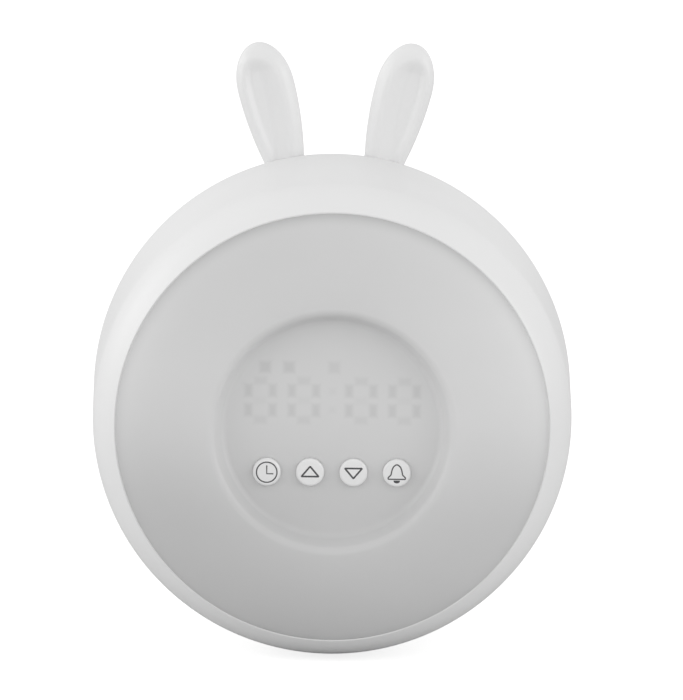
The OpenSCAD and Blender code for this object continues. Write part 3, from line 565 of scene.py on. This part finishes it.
icon = {  # strokes in mm, drawn round the middle of each cap
    "thin": 0.4, "bold": 0.54, "proud": 0.05,
    "faceRadius": 3.1, "faceSteps": 48, "hands": [(0, 2.1), (0, -0.45), (2.0, -0.45)],
    "triangleHalf": 2.6, "triangleHeight": 3.1, "triangleCorner": 0.2,
    "upwardLift": 0.35, "downwardLift": -0.15,
    "bellSide": [(0.3, 2.65), (1.1, 1.95), (1.5, 0.9), (1.75, -0.5), (2.65, -1.35), (2.65, -1.8)],
    "bellCorner": 0.3, "clapperRadius": 0.8, "clapperUp": -2.3, "clapperSquash": 0.7, "clapperSteps": 12,
    "filling": [(-0.5, -2.5), (0.5, -2.5)],
}


def drawIcon(name, stroke, lines, key):  # each line is (closed, [(right, up), ...])
    data = bpy.data.curves.new(name, "CURVE")
    data.dimensions = "3D"
    data.bevel_depth = stroke / 2 * mm
    data.bevel_resolution = 3
    data.use_fill_caps = True
    for closed, points in lines:
        line = data.splines.new("POLY")
        line.points.add(len(points) - 1)
        line.use_cyclic_u = closed
        for point, (x, up) in zip(line.points, points):
            point.co = (x * mm, up * mm, 0, 1)
    drawn = bpy.data.objects.new(name + "Curve", data)
    bpy.context.scene.collection.objects.link(drawn)
    bpy.context.view_layer.update()
    mesh = bpy.data.meshes.new_from_object(drawn.evaluated_get(bpy.context.evaluated_depsgraph_get()))
    bpy.data.objects.remove(drawn)
    bpy.data.curves.remove(data)
    shape = bmesh.new()
    shape.from_mesh(mesh)
    bpy.data.meshes.remove(mesh)
    flat = Matrix.Diagonal((1, 1, 2 * icon["proud"] / stroke, 1))  # the strokes are pressed flat on the cap
    capTop = place(keyPlaces[keys.index(key)], -button["drop"], button["top"])
    seat = Matrix.Translation(capTop) @ Matrix.Rotation(math.radians(90), 4, "X")
    bmesh.ops.transform(shape, matrix=seat @ flat, verts=shape.verts[:])
    tidy(shape)
    makePiece(name, shape, "black_plastic", key + "_key", sharp=180, material=iconInk)


def roundLine(radius, centreUp, fromAngle, toAngle, count, squash=1.0):
    angles = [math.radians(fromAngle + (toAngle - fromAngle) * i / count) for i in range(count + 1)]
    return [(radius * math.sin(a), centreUp + radius * squash * math.cos(a)) for a in angles]


def roundedCorners(points, radius, count=5):  # a closed outline with its corners rounded
    made = []
    for i, corner in enumerate(points):
        before, after = Vector(points[i - 1]), Vector(points[(i + 1) % len(points)])
        corner = Vector(corner)
        start = corner + (before - corner).normalized() * radius
        end = corner + (after - corner).normalized() * radius
        for j in range(count + 1):
            t = j / count
            made.append(tuple(start * (1 - t) ** 2 + corner * 2 * t * (1 - t) + end * t ** 2))
    return made


def makeIcons():
    c = icon
    face = roundLine(c["faceRadius"], 0, 0, 360, c["faceSteps"])[:-1]
    drawIcon("clockIcon", c["thin"], [(True, face), (False, c["hands"])], "time")
    half, high = c["triangleHalf"], c["triangleHeight"]
    triangle = roundedCorners([(-half, -high / 2), (0, high / 2), (half, -high / 2)], c["triangleCorner"])
    drawIcon("upIcon", c["bold"], [(True, [(x, y + c["upwardLift"]) for x, y in triangle])], "up")
    drawIcon("downIcon", c["bold"], [(True, [(x, -y + c["downwardLift"]) for x, y in triangle])], "down")
    bell = roundedCorners([(-x, y) for x, y in c["bellSide"][::-1]] + c["bellSide"], c["bellCorner"])
    clapper = roundLine(c["clapperRadius"], c["clapperUp"], 90, 270, c["clapperSteps"], c["clapperSquash"])
    drawIcon("bellIcon", c["thin"], [(True, bell), (True, clapper), (False, c["filling"])], "alarm")


ear = {
    "length": 37.0, "width": 17.4, "rootWidth": 12.4, "thickness": 10.6, "tip": 13.9,
    "tilt": 14.5, "out": 15.2, "behind": 67.0, "below": 5.0, "floor": 2.1,
    "outerRim": 1.3, "outerSlope": 3.6, "innerRim": 2.4, "innerSlope": 7.0, "topRim": 2.6, "topSlope": 6.2,
    "turns": 160, "sideSteps": 90, "tipSteps": 48,
}


def smooth(value):  # 0 to 1 with soft ends
    value = min(1.0, max(0.0, value))
    return value * value * (3 - 2 * value)


def earHalfWidth(up):  # widest below the oval tip, then drawn in towards the root
    half, widest = ear["width"] / 2, ear["length"] - ear["tip"]
    if up > widest:
        return half * math.sqrt(max(0.0, 1 - ((up - widest) / ear["tip"]) ** 2))
    return half - (half - ear["rootWidth"] / 2) * (1 - max(0.0, up) / widest) ** 2


def earSeatZ():  # height of the shell's skin where an ear stands
    inward = ear["behind"] - shell["beltDepth"]
    skin = shell["radius"] - shell["backRadius"] + math.sqrt(shell["backRadius"] ** 2 - inward ** 2)
    return axisZ + math.sqrt(skin ** 2 - ear["out"] ** 2) * mm


def makeEar(side, name, node):
    e = ear
    widest = e["length"] - e["tip"]
    heights = [-e["below"] + (widest + e["below"]) * i / e["sideSteps"] for i in range(e["sideSteps"])]
    tipAngles = [math.pi / 2 * i / e["tipSteps"] for i in range(e["tipSteps"] + 1)]
    outline = [(0, -e["below"])]
    outline += [(earHalfWidth(up), up) for up in heights]
    outline += [(e["width"] / 2 * math.cos(a), widest + e["tip"] * math.sin(a)) for a in tipAngles]
    shape = bmesh.new()
    spin(shape, [(r * mm, 0, up * mm) for r, up in outline], (0, 0, 0), (0, 0, 1), e["turns"])
    tidy(shape)
    bmesh.ops.scale(shape, vec=(1, e["thickness"] / e["width"], 1), verts=shape.verts[:])
    for v in shape.verts:  # the front is hollowed down to a flat floor, with a soft slope on each side
        ahead, across, up = -v.co.y / mm, side * v.co.x / mm, v.co.z / mm
        if ahead > e["floor"]:
            half = earHalfWidth(up)
            fromTop = smooth((e["length"] - e["topRim"] - up) / e["topSlope"])
            fromOuter = smooth((half - across - e["outerRim"]) / e["outerSlope"])
            fromInner = smooth((half + across - e["innerRim"]) / e["innerSlope"])
            v.co.y = -(ahead + (e["floor"] - ahead) * fromTop * fromOuter * fromInner) * mm
    seat = place(side * e["out"], 0, -e["behind"])
    seat.z = earSeatZ()
    tilt = Matrix.Rotation(math.radians(side * e["tilt"]), 4, "Y")
    bmesh.ops.transform(shape, matrix=Matrix.Translation(seat) @ tilt, verts=shape.verts[:])
    makePiece(name, shape, "shell_plastic", stands=[node], sharp=180)


softEdge = {"door": 0.35, "pad": 0.3, "knob": 0.2, "screwHead": 0.25, "segments": 3, "angle": 40}
cross = {"length": 2.8, "width": 0.7, "depth": 1.3}


def softCopy(node, name, width, rides, slot):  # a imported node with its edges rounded
    shape = bmesh.new()
    shape.from_mesh(frame["nodes"][node].data)
    bmesh.ops.remove_doubles(shape, verts=shape.verts[:], dist=0.001 * mm)
    bmesh.ops.dissolve_limit(shape, angle_limit=math.radians(1), verts=shape.verts[:], edges=shape.edges[:])
    piece = makePiece(name, shape, slot, rides, [node])
    soften = piece.modifiers.new("soften", "BEVEL")
    soften.width, soften.segments, soften.limit_method = width * mm, softEdge["segments"], "ANGLE"
    soften.angle_limit, soften.harden_normals = math.radians(softEdge["angle"]), True
    return piece


def makeCrossScrews(node, name, rides, places):  # packed screws with rounded heads and a cross recess
    piece = softCopy(node, name, softEdge["screwHead"], rides, "screw_steel")
    head = (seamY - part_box(node)[1][1]) / mm  # how far ahead the heads' tops lie
    right, up = spot(node)
    for wide, high in ((cross["length"], cross["width"]), (cross["width"], cross["length"])):
        cutter = bmesh.new()
        for x, y in places:
            slab(cutter, right + x, up + y, wide, high, head + cross["depth"], head - margin)
        cut(piece, cutter)


makeShell()
makePosts()
makeBatteryTub()
makeFoot()
print("shell made")
makeLightRing()
print("light ring made")
makeButtons()
makeIcons()
print("buttons made")
makeEar(-1, "leftEar", "left_ear")
makeEar(1, "rightEar", "right_ear")
print("ears made")
softCopy("battery_door", "batteryDoor", softEdge["door"], "door", "shell_plastic")
softCopy("foot_pad", "footPad", softEdge["pad"], "root", "foot_rubber")
softCopy("switch_knob", "switchKnob", softEdge["knob"], "switch_slider", "black_plastic")
makeCrossScrews("door_screws", "doorScrews", "door", [(-back["doorEarX"], 0), (back["doorEarX"], 0)])
makeCrossScrews("case_screws", "caseScrews", "root", postPlaces)
print("small parts softened")


studio = {
    "floorSize": 6.0, "floorColour": "#cfcfcf", "floorSeen": "#b4b4b4", "floorGlow": 0.8,
    "worldStrength": 0.81, "cameraDistance": 8.0, "elevation": 10.8, "azimuth": -0.2, "roll": 0.6,
    "pixelsPerMm": 3.31, "seamPixel": (332.2, 427.0), "frameSize": (683, 700),
    "sensor": 36.0, "clip": (0.5, 40),
}


def mixSeen(tree, lighting, seen):  # one shader lights the object, the other is what the camera sees
    path = addNode(tree, "ShaderNodeLightPath")
    direct = addNode(tree, "ShaderNodeMath", {
        0: path.outputs["Is Camera Ray"], 1: path.outputs["Is Transmission Ray"],
    }, operation="MAXIMUM")
    return addNode(tree, "ShaderNodeMixShader", {
        0: direct.outputs[0], 1: lighting.outputs[0], 2: seen.outputs[0],
    }).outputs[0]


def makeFloor():
    shape = bmesh.new()
    bmesh.ops.create_grid(shape, x_segments=1, y_segments=1, size=studio["floorSize"] / 2)
    mesh = bpy.data.meshes.new("studioFloor")
    shape.to_mesh(mesh)
    shape.free()
    floor = bpy.data.objects.new("studioFloor", mesh)
    bpy.context.scene.collection.objects.link(floor)
    # matt paper, seen as white, that gives little light back to the object
    paper = bpy.data.materials.new("studioPaper")
    paper.use_nodes = True
    tree = paper.node_tree
    tree.nodes.clear()
    dull = addNode(tree, "ShaderNodeBsdfDiffuse", {"Color": colour(studio["floorColour"])})
    pale = addNode(tree, "ShaderNodeBsdfDiffuse", {"Color": colour(studio["floorSeen"])})
    glow = addNode(tree, "ShaderNodeEmission", {"Color": (1, 1, 1, 1), "Strength": studio["floorGlow"]})
    seen = addNode(tree, "ShaderNodeAddShader", {0: pale.outputs[0], 1: glow.outputs[0]})
    addNode(tree, "ShaderNodeOutputMaterial", {"Surface": mixSeen(tree, dull, seen)})
    floor.data.materials.append(paper)


def makeWorld():
    world = bpy.data.worlds.new("studioWorld")
    bpy.context.scene.world = world
    world.use_nodes = True
    tree = world.node_tree
    tree.nodes.clear()
    soft = addNode(tree, "ShaderNodeBackground", {"Color": (1, 1, 1, 1), "Strength": studio["worldStrength"]})
    white = addNode(tree, "ShaderNodeBackground", {"Color": (1, 1, 1, 1), "Strength": 1.0})
    addNode(tree, "ShaderNodeOutputWorld", {"Surface": mixSeen(tree, soft, white)})


lamps = [  # name, where it stands, size in metres, watts
    ("leftLamp", (-1.3, -0.55, 0.45), 0.9, 3.4),
    ("rightLamp", (1.3, -0.55, 0.45), 0.9, 4.2),
    ("leftRimLamp", (-1.4, 0.3, 0.6), 0.9, 2.8),
    ("frontLamp", (0.0, -1.4, 0.28), 0.5, 1.0),
]


def makeLamps():
    target = Vector((0, 0, axisZ))
    for name, stand, size, watts in lamps:
        data = bpy.data.lights.new(name, "AREA")
        data.shape, data.size, data.energy = "DISK", size, watts
        lamp = bpy.data.objects.new(name, data)
        lamp.location = stand
        lamp.rotation_euler = (target - Vector(stand)).to_track_quat("-Z", "Y").to_euler()
        bpy.context.scene.collection.objects.link(lamp)


def makeCamera():  # far off with a long lens, and the seam's middle set on its pixel
    c = studio
    width, height = c["frameSize"]
    data = bpy.data.cameras.new("camera")
    data.sensor_width = c["sensor"]
    data.lens = c["pixelsPerMm"] * c["cameraDistance"] / mm / max(width, height) * c["sensor"]
    data.clip_start, data.clip_end = c["clip"]
    camera = bpy.data.objects.new("camera", data)
    bpy.context.scene.collection.objects.link(camera)
    azimuth, elevation = math.radians(c["azimuth"]), math.radians(c["elevation"])
    flat = math.cos(elevation)
    behind = Vector((math.sin(azimuth) * flat, -math.cos(azimuth) * flat, math.sin(elevation)))
    roll = Matrix.Rotation(math.radians(c["roll"]), 3, "Z").to_quaternion()
    turned = (-behind).to_track_quat("-Z", "Y") @ roll
    right, up = turned @ Vector((1, 0, 0)), turned @ Vector((0, 1, 0))
    offRight = (width / 2 - c["seamPixel"][0]) / c["pixelsPerMm"] * mm
    offUp = (c["seamPixel"][1] - height / 2) / c["pixelsPerMm"] * mm
    camera.location = place(0, 0, 0) + behind * c["cameraDistance"] + right * offRight + up * offUp
    camera.rotation_mode = "QUATERNION"
    camera.rotation_quaternion = turned
    bpy.context.scene.camera = camera


makeFloor()
makeWorld()
makeLamps()
makeCamera()
bpy.context.scene.view_settings.view_transform = "Standard"
print("studio made")
